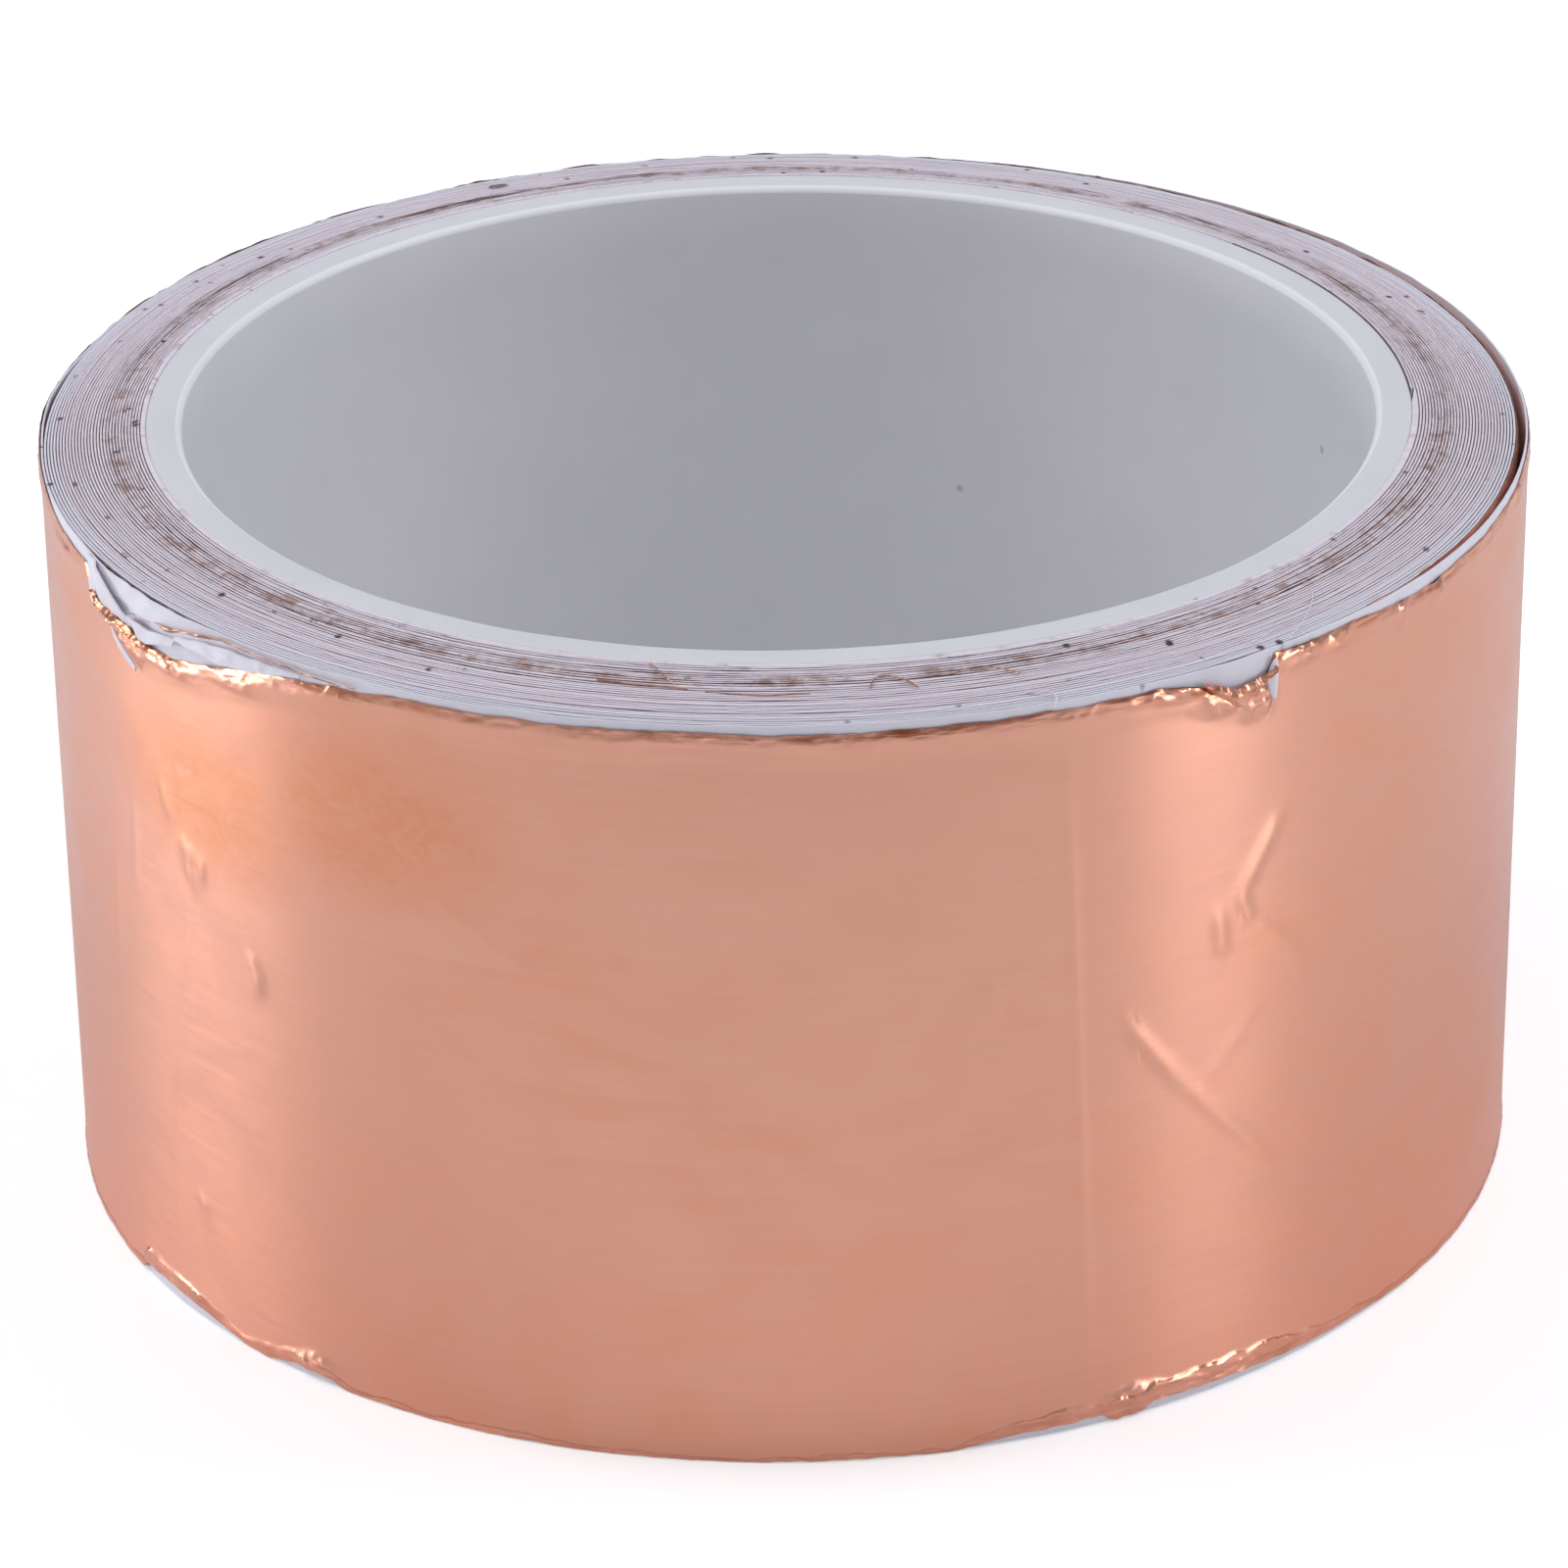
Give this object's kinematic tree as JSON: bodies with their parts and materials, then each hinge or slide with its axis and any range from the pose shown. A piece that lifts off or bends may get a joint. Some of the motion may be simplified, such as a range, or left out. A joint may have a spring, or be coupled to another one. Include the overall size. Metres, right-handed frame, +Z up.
{
  "type": "copper foil tape roll",
  "caption": "Wide roll of lined copper foil tape, wound copper side out on a plain white tube core, with its free end lifted off the roll.",
  "frame": {"origin": "on the axis of the core's bore, in the plane that the roll stands on; the lifted end puts the middle of the box 0.4 mm off it", "axes": "+Z up along the core's axis; +X towards the middle of the lifted end, the roll's front is -Y; the strip winds outwards from +X towards +Y"},
  "size_m": [0.0959, 0.0952, 0.0509],
  "materials": {
    "core_plastic": "smooth satin white moulded or extruded tube",
    "copper": null,
    "adhesive": null,
    "liner_paper": "smooth white coated release paper"
  },
  "bodies": {
    "roll": {"core": "core_plastic", "starter_strip": "adhesive", "foil_winding": "copper", "adhesive_winding": "adhesive", "liner_winding": "liner_paper"},
    "tail_1": {"foil_tail_1": "copper", "adhesive_tail_1": "adhesive", "liner_tail_1": "liner_paper"},
    "tail_2": {"foil_tail_2": "copper", "adhesive_tail_2": "adhesive", "liner_tail_2": "liner_paper"},
    "tail_3": {"foil_tail_3": "copper", "adhesive_tail_3": "adhesive", "liner_tail_3": "liner_paper"},
    "tail_4": {"foil_tail_4": "copper", "adhesive_tail_4": "adhesive", "liner_tail_4": "liner_paper"},
    "tail_5": {"foil_tail_5": "copper", "adhesive_tail_5": "adhesive"},
    "tail_6": {"foil_tail_6": "copper", "adhesive_tail_6": "adhesive"},
    "liner_5": {"liner_tail_5": "liner_paper"},
    "liner_6": {"liner_tail_6": "liner_paper"}
  },
  "joints": [
    {"name": "peel_1", "type": "hinge", "parent": "roll", "child": "tail_1", "pos_m": [0.03546, -0.03194, 0.025], "axis": [0, 0, -1], "range_deg": [0, 20]},
    {"name": "peel_2", "type": "hinge", "parent": "tail_1", "child": "tail_2", "pos_m": [0.0444, -0.01845, 0.025], "axis": [0, 0, -1], "range_deg": [0, 20]},
    {"name": "peel_3", "type": "hinge", "parent": "tail_2", "child": "tail_3", "pos_m": [0.04824, -0.00273, 0.025], "axis": [0, 0, -1], "range_deg": [0, 20]},
    {"name": "peel_4", "type": "hinge", "parent": "tail_3", "child": "tail_4", "pos_m": [0.04652, 0.01335, 0.025], "axis": [0, 0, -1], "range_deg": [0, 20]},
    {"name": "peel_5", "type": "hinge", "parent": "tail_4", "child": "tail_5", "pos_m": [0.03946, 0.02791, 0.025], "axis": [0, 0, -1], "range_deg": [0, 20]},
    {"name": "peel_6", "type": "hinge", "parent": "tail_5", "child": "tail_6", "pos_m": [0.02788, 0.03921, 0.025], "axis": [0, 0, -1], "range_deg": [0, 20]},
    {"name": "liner_peel_5", "type": "hinge", "parent": "tail_4", "child": "liner_5", "pos_m": [0.0394, 0.02786, 0.025], "axis": [0, 0, -1], "range_deg": [0, 7]},
    {"name": "liner_peel_6", "type": "hinge", "parent": "liner_5", "child": "liner_6", "pos_m": [0.02784, 0.03915, 0.025], "axis": [0, 0, -1], "range_deg": [0, 7]}
  ],
  "couplings": [
    {"joint": "peel_2", "follows": "peel_1", "ratio": 1},
    {"joint": "peel_3", "follows": "peel_1", "ratio": 1},
    {"joint": "peel_4", "follows": "peel_1", "ratio": 1},
    {"joint": "peel_5", "follows": "peel_1", "ratio": 1},
    {"joint": "peel_6", "follows": "peel_1", "ratio": 1},
    {"joint": "liner_peel_5", "follows": "peel_1", "ratio": 0.35},
    {"joint": "liner_peel_6", "follows": "peel_1", "ratio": 0.35}
  ]
}
